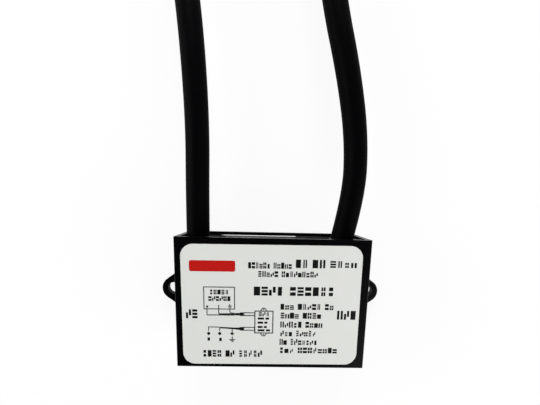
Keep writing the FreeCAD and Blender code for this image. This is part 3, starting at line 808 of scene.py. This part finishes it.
# Places on the label are in millimetres from the point midway between the ears' holes, before the
# label's turn. A box gives its left, bottom, right and top edge.
RED_FIELD = (-25.4, 10.6, -11.4, 14.0)
RED_FIELD_CORNER = 0.5

# No corner of a bar is rounded by more than this share of the bar's shorter side.
LARGEST_CORNER = 0.3

# Rows of blocks: the row's box, whether all its blocks are tall, and how many each group has.
ROWS = (
    (-7.6, 11.7, 5.9, 13.6, False, (6, 5)),
    (-4.5, 9.1, 14.0, 10.9, False, (5, 9)),
    (6.8, 12.0, 10.9, 14.6, True, (2,)),
    (11.9, 12.0, 16.3, 14.6, True, (2,)),
    (17.4, 12.2, 25.9, 14.3, False, (4,)),
    (-5.9, 3.2, 19.4, 6.0, True, (4, 6)),
    (2.5, -1.3, 19.4, 0.6, False, (3, 5, 2)),
    (2.6, -4.2, 15.6, -2.3, False, (4, 4)),
    (2.6, -7.2, 16.1, -5.2, False, (5, 4)),
    (2.7, -10.1, 14.2, -8.2, False, (3, 5)),
    (2.5, -13.0, 14.7, -11.0, False, (2, 7)),
    (2.5, -15.8, 21.2, -13.9, False, (3, 8)),
    (-21.9, -17.2, -2.8, -15.0, True, (4, 2, 5)),
    (-19.4, 3.4, -13.4, 4.9, True, (5,)),
    (-19.8, 1.3, -12.8, 2.8, True, (6,)),
    (-26.9, -4.4, -23.0, -1.5, True, (2,)),
    (20.4, -4.4, 26.6, -1.5, True, (3,)),
    (-4.2, -3.5, -0.7, -2.2, True, (3,)),
)

# The gap between two groups, in blocks; a low block's share of the row's height; and how often a
# block that isn't the first of its group is tall.
GROUP_GAP = 0.7
LOW_SHARE = 0.76
TALL_CHANCE = 0.3

# Plain shapes that a block has, as bars in a cell one wide and one tall.
BLOCK_SHAPES = (
    ((0.0, 0.0, 0.38, 1.0), (0.62, 0.0, 1.0, 1.0)),
    ((0.0, 0.0, 1.0, 0.25), (0.0, 0.37, 1.0, 0.63), (0.0, 0.75, 1.0, 1.0)),
    ((0.0, 0.0, 1.0, 1.0),),
    ((0.0, 0.0, 0.44, 0.44), (0.56, 0.0, 1.0, 0.44), (0.0, 0.56, 0.44, 1.0), (0.56, 0.56, 1.0, 1.0)),
    ((0.0, 0.0, 1.0, 0.4), (0.0, 0.58, 1.0, 1.0)),
    ((0.0, 0.0, 0.42, 0.66), (0.58, 0.34, 1.0, 1.0)),
)

# How wide a block may be, as a share of its place in the row, and how round its corners are.
BLOCK_WIDTHS = (0.54, 0.76, 0.82, 0.88)
BLOCK_CORNER = 0.06
PRINT_SEED = 4

# The wiring diagram: the width of its lines, its two boxes, the wires from the supply box, the
# terminals, and where each trio of wires is drawn together. A ferrule's solid sleeve lies between
# the first two values, and its outlined part between the last two.
LINE = 0.3
UNIT_LINE = LINE * 1.15
SUPPLY_BOX = (-21.24, -1.44, -11.47, 5.87)
SUPPLY_FOOT = SUPPLY_BOX[1]
UNIT_BOX = (-5.46, -9.23, 0.53, -1.68)
UNIT_LEFT, UNIT_FOOT, UNIT_TOP = UNIT_BOX[0], UNIT_BOX[1], UNIT_BOX[3]
WIRE_X = (-20.2, -16.55, -13.1)
TERMINAL_X = (-19.78, -16.3, -12.4)
TERMINAL_Y = -9.36
TERMINAL_RADIUS = 0.62
JOIN_X = -11.7
FERRULE_X = (-9.9, -8.9, UNIT_LEFT + LINE)

# Its strokes: ink, start, end, and the width at the start and at the end.
STROKES = (
    # From the supply box into the upper ferrule.
    ("fine", (WIRE_X[0], SUPPLY_FOOT), (WIRE_X[0], -3.1), LINE, LINE),
    ("fine", (WIRE_X[0] - LINE / 2, -3.25), (JOIN_X, -3.25), LINE, LINE),
    ("fine", (WIRE_X[1], 0.0), (WIRE_X[1], SUPPLY_FOOT + LINE), LINE, LINE),
    ("fine", (WIRE_X[1], SUPPLY_FOOT), (WIRE_X[1], -2.75), LINE, LINE),
    ("dark", (WIRE_X[1], -2.92), (JOIN_X, -2.92), 0.42, 0.5),
    ("fine", (WIRE_X[2], SUPPLY_FOOT), (WIRE_X[2], -2.3), LINE, LINE),
    ("fine", (WIRE_X[2], -2.4), (JOIN_X, -2.66), 0.24, 0.24),
    ("dark", (JOIN_X, -2.95), (FERRULE_X[0], -2.92), 0.62, 0.86),
    # From the terminals into the lower ferrule.
    ("fine", (TERMINAL_X[0], -7.3), (TERMINAL_X[0], -8.5), LINE, LINE),
    ("fine", (TERMINAL_X[0] - LINE / 2, -7.2), (TERMINAL_X[1], -7.25), LINE, LINE),
    ("dark", (TERMINAL_X[1], -7.38), (JOIN_X, -7.62), 0.44, 0.56),
    ("fine", (TERMINAL_X[1], -7.6), (TERMINAL_X[1], -8.5), LINE, LINE),
    ("fine", (TERMINAL_X[2], -7.9), (TERMINAL_X[2], -8.8), LINE, LINE),
    ("dark", (JOIN_X, -7.64), (FERRULE_X[0], -7.72), 0.52, 0.86),
)

# Its small solid bars, each with the rounding of its corners: the ferrules' sleeves and the marks
# at the terminals and at the first wire.
BARS = (
    ((FERRULE_X[0], -3.5, FERRULE_X[1], -2.32), 0.1),
    ((FERRULE_X[0], -8.32, FERRULE_X[1], -7.14), 0.1),
    ((-20.2, -11.8, -19.4, -10.7), 0.08),
    ((-16.5, -11.9, -15.7, -10.8), 0.08),
    ((-20.4, -0.95, -19.85, -0.2), 0.08),
)

# Its outlined boxes, each with the width of its line.
FRAMES = (
    (SUPPLY_BOX, LINE),
    (UNIT_BOX, UNIT_LINE),
    ((FERRULE_X[1], -3.5, FERRULE_X[2], -2.3), LINE),
    ((FERRULE_X[1], -8.34, FERRULE_X[2], -7.1), LINE),
)

# Its earth signs: across, top and width.
EARTH_MARKS = ((TERMINAL_X[2], -10.3, 1.9), (WIRE_X[2], 0.4, 1.2))

# The caps above and below the unit box: their middle, how far to each side of it the sloped lines
# start and end, how far out they reach, and the flat bar's and the dot's distance out and size.
CAP_X = -2.55
CAP_FOOT = 0.95
CAP_TOP = 0.3
CAP_RISE = 0.85
CAP_BAR_RISE = 0.8
CAP_BAR_HALF = (0.4, 0.14)
CAP_DOT_RISE = 0.36
CAP_DOT_RADIUS = 0.22

# The rows in the unit box: top and length of each, then what they share. Each row has a gap,
# which starts and ends at these shares of its length.
UNIT_ROWS = ((-3.95, 3.6), (-5.32, 3.1), (-6.75, 2.9), (-7.85, 3.9))
UNIT_ROW_LEFT = -4.4
UNIT_ROW_RISE = 0.66
UNIT_ROW_GAP = (0.55, 0.68)
UNIT_ROW_CORNER = 0.1


def print_row(form, row, height, chance):
    """A row of small plain blocks of ink, in groups."""
    left, bottom, right, top, all_tall, groups = row
    pitch = (right - left) / (sum(groups) + GROUP_GAP * (len(groups) - 1))
    at = left
    shape = None
    for blocks in groups:
        for number in range(blocks):
            tall = all_tall or number == 0 or chance.random() < TALL_CHANCE
            rise = (top - bottom) * (1.0 if tall else LOW_SHARE)
            width = pitch * chance.choice(BLOCK_WIDTHS)
            start = at + (pitch - width) / 2
            shape = chance.choice([other for other in BLOCK_SHAPES if other is not shape])
            for west, south, east, north in shape:
                low, high = bottom + south * rise, bottom + north * rise
                add_bar(form, (start + west * width, low, start + east * width, high), height, BLOCK_CORNER)
            at += pitch
        at += pitch * GROUP_GAP


def print_diagram(dark, fine, height):
    """A plain wiring diagram: a supply box, a small unit box, and three wires into each of its inlets."""
    inks = {"dark": dark, "fine": fine}
    for ink, start, end, width, end_width in STROKES:
        add_stroke(inks[ink], start, end, height, width, end_width)
    for edges, corner in BARS:
        add_bar(dark, edges, height, corner)
    for edges, line in FRAMES:
        add_frame(fine, edges, line, height)
    for x in TERMINAL_X:
        add_disc(dark, (x, TERMINAL_Y), TERMINAL_RADIUS, height, sides=4)
    for x, top, width in EARTH_MARKS:
        add_earth_mark(dark, x, top, width, height)
    add_cap(fine, UNIT_TOP, 1, height)
    add_cap(fine, UNIT_FOOT, -1, height)
    for top, reach in UNIT_ROWS:
        low = top - UNIT_ROW_RISE
        for start, end in ((0.0, UNIT_ROW_GAP[0]), (UNIT_ROW_GAP[1], 1.0)):
            left, right = UNIT_ROW_LEFT + reach * start, UNIT_ROW_LEFT + reach * end
            add_bar(dark, (left, low, right, top), height, UNIT_ROW_CORNER)


def add_cap(form, edge, outward, height):
    """A small cap on an edge of the unit box: two sloped lines, a flat bar across them, and a dot."""
    for side in (-1, 1):
        foot = (CAP_X + side * CAP_FOOT, edge)
        add_stroke(form, foot, (CAP_X + side * CAP_TOP, edge + outward * CAP_RISE), height, LINE)
    middle = edge + outward * CAP_BAR_RISE
    half_width, half_rise = CAP_BAR_HALF
    add_bar(form, (CAP_X - half_width, middle - half_rise, CAP_X + half_width, middle + half_rise), height)
    add_disc(form, (CAP_X, edge + outward * CAP_DOT_RISE), CAP_DOT_RADIUS, height, sides=8)


def add_earth_mark(form, x, top, width, height):
    """The common earth sign: a stem over three bars, each shorter than the one above."""
    stem, gap, pitch = width * 0.5, 0.12, 0.36
    add_stroke(form, (x, top), (x, top - stem), height, 0.26)
    for step, share in enumerate((1.0, 0.62, 0.26)):
        middle = top - stem - gap - step * pitch
        add_stroke(form, (x - width * share / 2, middle), (x + width * share / 2, middle), height, 0.24)


def add_bar(form, edges, height, rounding=0.0):
    """A flat bar of ink, its corners rounded: left, bottom, right and top edge."""
    left, bottom, right, top = edges
    made = bmesh.ops.create_grid(form, x_segments=1, y_segments=1, size=0.5)["verts"]
    bmesh.ops.scale(form, verts=made, vec=(right - left, top - bottom, 1))
    bmesh.ops.translate(form, verts=made, vec=((left + right) / 2, (bottom + top) / 2, 0))
    face = made[0].link_faces[0]
    if rounding > 0:
        largest = min(right - left, top - bottom) * LARGEST_CORNER
        rounded = bmesh.ops.bevel(
            form, geom=made, offset=min(rounding, largest), offset_type="OFFSET",
            segments=2, profile=0.5, affect="VERTICES", material=-1,
        )
        face = rounded["verts"][0].link_faces[0]
    raise_face(form, face, height)


def add_frame(form, edges, line, height):
    """An outlined box of four bars."""
    left, bottom, right, top = edges
    add_bar(form, (left, bottom, left + line, top), height)
    add_bar(form, (right - line, bottom, right, top), height)
    add_bar(form, (left + line, bottom, right - line, bottom + line), height)
    add_bar(form, (left + line, top - line, right - line, top), height)


def add_stroke(form, start, end, height, width, end_width=None):
    """A straight stroke of ink between two points, which may widen or narrow on its way."""
    start, end = Vector(start), Vector(end)
    aside = (end - start).normalized().orthogonal() / 2
    other = width if end_width is None else end_width
    corners = (start + aside * width, start - aside * width, end - aside * other, end + aside * other)
    raise_face(form, form.faces.new([form.verts.new((*corner, 0)) for corner in corners]), height)


def add_disc(form, middle, radius, height, sides):
    """A flat dot of ink with that many sides."""
    made = bmesh.ops.create_circle(form, segments=sides, radius=radius, cap_ends=True)["verts"]
    bmesh.ops.translate(form, verts=made, vec=(*middle, 0))
    raise_face(form, made[0].link_faces[0], height)


def raise_face(form, face, height):
    """Gives a flat outline the ink's thickness."""
    grown = bmesh.ops.extrude_face_region(form, geom=[face])["geom"]
    raised = [part for part in grown if isinstance(part, bmesh.types.BMVert)]
    bmesh.ops.translate(form, verts=raised, vec=(0, 0, height))


# Stage


def add_lamp(name, place, side, watts):
    """A square soft box that faces the device."""
    data = bpy.data.lights.new(name, "AREA")
    data.shape = "SQUARE"
    data.size = side
    data.energy = watts
    lamp = new_object(name, data)
    lamp.location = place
    aim = Vector(LAMP_AIM) - Vector(place)
    lamp.rotation_euler = aim.to_track_quat("-Z", "Y").to_euler()


def add_world(scene):
    """A white backdrop low down all round, and a dim ceiling over it."""
    world = bpy.data.worlds.new("studio")
    world.use_nodes = True
    tree = world.node_tree
    tree.nodes.clear()
    direction = add_node(tree, "ShaderNodeTexCoord").outputs["Generated"]
    parts = add_node(tree, "ShaderNodeSeparateXYZ", {"Vector": direction})
    fade_start, fade_end = BACKDROP_FADE
    level = add_node(
        tree, "ShaderNodeMapRange",
        {
            "Value": parts.outputs["Z"],
            "From Min": fade_start,
            "From Max": fade_end,
            "To Min": 1.0,
            "To Max": CEILING_LIGHT,
        },
        interpolation_type="SMOOTHSTEP",
    )
    light = add_node(
        tree, "ShaderNodeBackground", {"Color": (1.0, 1.0, 1.0, 1.0), "Strength": level.outputs["Result"]}
    )
    add_node(tree, "ShaderNodeOutputWorld", {"Surface": light.outputs["Background"]})
    scene.world = world


# Operators


class SPD_OT_camera(bpy.types.Operator):
    """Place the camera where the photograph was taken from"""

    bl_idname = "spd.camera"
    bl_label = "Camera"

    def execute(self, context):
        data = bpy.data.cameras.new("camera")
        data.sensor_fit = "HORIZONTAL"
        data.sensor_width = SENSOR_WIDTH
        data.lens = FOCAL_PIXELS * SENSOR_WIDTH / PICTURE_WIDTH
        data.shift_y = CENTRE_DROP_PIXELS / PICTURE_WIDTH
        data.clip_start = 0.001
        camera = new_object("camera", data)
        camera.location = CAMERA_PLACE
        camera.rotation_euler = Euler([math.radians(angle) for angle in CAMERA_TURN], "XYZ")
        context.scene.camera = camera
        return {"FINISHED"}


class SPD_OT_leads(bpy.types.Operator):
    """Make both leads: sheaths, free cores and their tinned tips"""

    bl_idname = "spd.leads"
    bl_label = "Leads"

    def execute(self, context):
        leads = context.scene.spd.leads
        rubber = extruded_rubber(leads)
        tin = worked_metal(
            "tinned_copper_strands", linear_colour("#C6C5C0"), roughness=0.34, wear_size=0.6
        )
        insulation = {
            "line": core_insulation("brown_core_insulation", leads.line_colour),
            "neutral": core_insulation("blue_core_insulation", leads.neutral_colour),
            "earth": core_insulation("earth_core_insulation", leads.earth_green, leads.earth_yellow),
        }
        for side_name in LEADS:
            make_sheath(side_name, leads, rubber)
            for core in CORE_SLOTS:
                make_free_core(side_name, core, leads, insulation[core], tin)
        return {"FINISHED"}


class SPD_OT_case(bpy.types.Operator):
    """Finish the moulded case, and cast the resin in it"""

    bl_idname = "spd.case"
    bl_label = "Case and resin"

    def execute(self, context):
        settings = context.scene.spd.case
        dress_node("case", moulded_plastic(settings))
        mesh = resin_mesh("cast_resin", settings, context.scene.spd.leads.sheath_diameter / 2)
        resin = new_piece("cast_resin", mesh, cast_epoxy(settings))
        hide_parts("potting_compound")
        return {"FINISHED"}


class SPD_OT_label(bpy.types.Operator):
    """Give the label its film, and print its plain field, rows of blocks and diagram"""

    bl_idname = "spd.label"
    bl_label = "Label"

    def execute(self, context):
        settings = context.scene.spd.label
        dress_node("label", polyester_film(settings))
        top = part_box("label")[1].z
        height = settings.ink_thickness / MM
        red, dark, fine = bmesh.new(), bmesh.new(), bmesh.new()
        add_bar(red, RED_FIELD, height, RED_FIELD_CORNER)
        chance = random.Random(PRINT_SEED)
        for row in ROWS:
            print_row(dark, row, height, chance)
        print_diagram(dark, fine, height)
        turn = Matrix.Rotation(math.radians(LABEL_TURN), 4, "Z")
        place = Matrix.Translation((0, 0, top)) @ turn @ Matrix.Scale(MM, 4)
        for form, name, material in (
            (red, "label_red_print", screen_ink("red_screen_ink", settings.red_colour)),
            (dark, "label_dark_print", screen_ink("dark_screen_ink", settings.ink_colour)),
            (fine, "label_fine_print", screen_ink("grey_screen_ink", settings.line_colour)),
        ):
            bmesh.ops.transform(form, verts=form.verts, matrix=place)
            new_piece(name, mesh_from(form, name), material)
        return {"FINISHED"}


class SPD_OT_inside(bpy.types.Operator):
    """Give the pieces inside the resin their finishes"""

    bl_idname = "spd.inside"
    bl_label = "Inside"

    def execute(self, context):
        leads = context.scene.spd.leads
        for make, finishes in ((coated_component, COATINGS), (worked_metal, METALS)):
            for name, code, roughness, patch_size, nodes in finishes:
                material = make(name, linear_colour(code), roughness, patch_size)
                for node in nodes:
                    dress_node(node, material)
        tones = {"line": leads.line_colour, "neutral": leads.neutral_colour, "earth": leads.earth_green}
        for core, tone in tones.items():
            held = coated_component(f"{core}_core_in_resin", tone, roughness=0.4, grain_size=0.5)
            for side_name in LEADS:
                dress_node(f"{side_name}_{core}_inner_core", held)
        return {"FINISHED"}


class SPD_OT_stage(bpy.types.Operator):
    """Build the pale floor, the soft lamps and the world's light"""

    bl_idname = "spd.stage"
    bl_label = "Stage"

    def execute(self, context):
        settings = context.scene.spd.stage
        form = bmesh.new()
        bmesh.ops.create_circle(form, segments=96, radius=settings.floor_radius, cap_ends=True)
        bmesh.ops.translate(form, verts=form.verts, vec=(0, 0, -FLOOR_DROP * MM))
        mesh = bpy.data.meshes.new("floor")
        form.to_mesh(mesh)
        form.free()
        mesh.materials.append(floor_paint(settings))
        new_object("floor", mesh)
        for name, (place, side) in LAMPS.items():
            add_lamp(f"{name}_lamp", place, side, getattr(settings, f"{name}_power"))
        add_world(context.scene)
        context.scene.view_settings.view_transform = "Standard"
        return {"FINISHED"}


class SPD_PT_panel(bpy.types.Panel):
    """Lists the device's settings, and the operators that make its pieces"""

    bl_idname = "SPD_PT_panel"
    bl_label = "Surge protective device"
    bl_space_type = "VIEW_3D"
    bl_region_type = "UI"
    bl_category = "Surge device"

    def draw(self, context):
        settings = context.scene.spd
        for group in (settings.leads, settings.case, settings.label, settings.stage):
            box = self.layout.box()
            for name in group.bl_rna.properties.keys():
                if name not in {"rna_type", "name"}:
                    box.prop(group, name)
        for operator in OPERATORS:
            self.layout.operator(operator.bl_idname)


SETTINGS = (LeadSettings, CaseSettings, LabelSettings, StageSettings, DeviceSettings)
OPERATORS = (SPD_OT_camera, SPD_OT_leads, SPD_OT_case, SPD_OT_label, SPD_OT_inside, SPD_OT_stage)
CLASSES = (*SETTINGS, *OPERATORS, SPD_PT_panel)


def register():
    for item in CLASSES:
        bpy.utils.register_class(item)
    bpy.types.Scene.spd = bpy.props.PointerProperty(type=DeviceSettings)


def unregister():
    del bpy.types.Scene.spd
    for item in reversed(CLASSES):
        bpy.utils.unregister_class(item)


def main():
    register()
    bpy.ops.spd.camera()
    bpy.ops.spd.leads()
    bpy.ops.spd.case()
    bpy.ops.spd.label()
    bpy.ops.spd.inside()
    bpy.ops.spd.stage()


if __name__ == "__main__":
    main()
